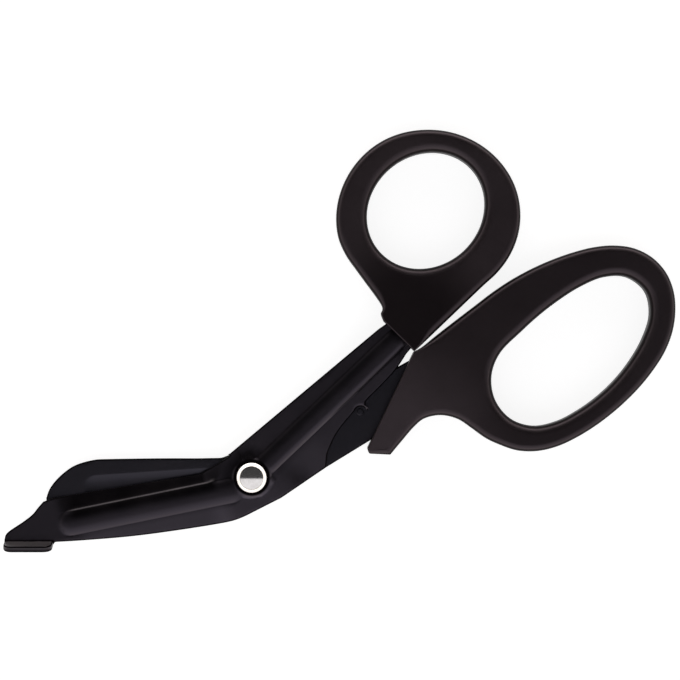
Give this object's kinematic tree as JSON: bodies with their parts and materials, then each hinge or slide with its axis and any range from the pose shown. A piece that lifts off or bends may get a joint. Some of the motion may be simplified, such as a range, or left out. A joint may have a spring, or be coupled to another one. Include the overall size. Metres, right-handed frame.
{
  "type": "safety scissors",
  "caption": "Bandage shears lying closed: bent black blades on a rivet, a flat foot on the lower tip, a round thumb ring and a long slanted finger loop.",
  "frame": {"origin": "under the middle of the bounding box, on the surface that the scissors lie on", "axes": "+X from the foot toward the finger loop, +Y toward the thumb ring, +Z out of the face that shows the rivet's head"},
  "size_m": [0.1734, 0.109, 0.0099],
  "materials": {
    "black_coated_steel": "satin black coating",
    "black_plastic": "moulded, fine satin",
    "bright_steel": "polished"
  },
  "bodies": {
    "back_half": {"back_blade": "black_coated_steel", "finger_loop_handle": "black_plastic", "pivot_rivet": "bright_steel"},
    "front_half": {"front_blade": "black_coated_steel", "thumb_ring_handle": "black_plastic"}
  },
  "joints": [
    {"name": "pivot", "type": "hinge", "parent": "back_half", "child": "front_half", "pos_m": [-0.02272, -0.03539, 0.004], "axis": [0, 0, 1], "range_deg": [0, 60]}
  ]
}
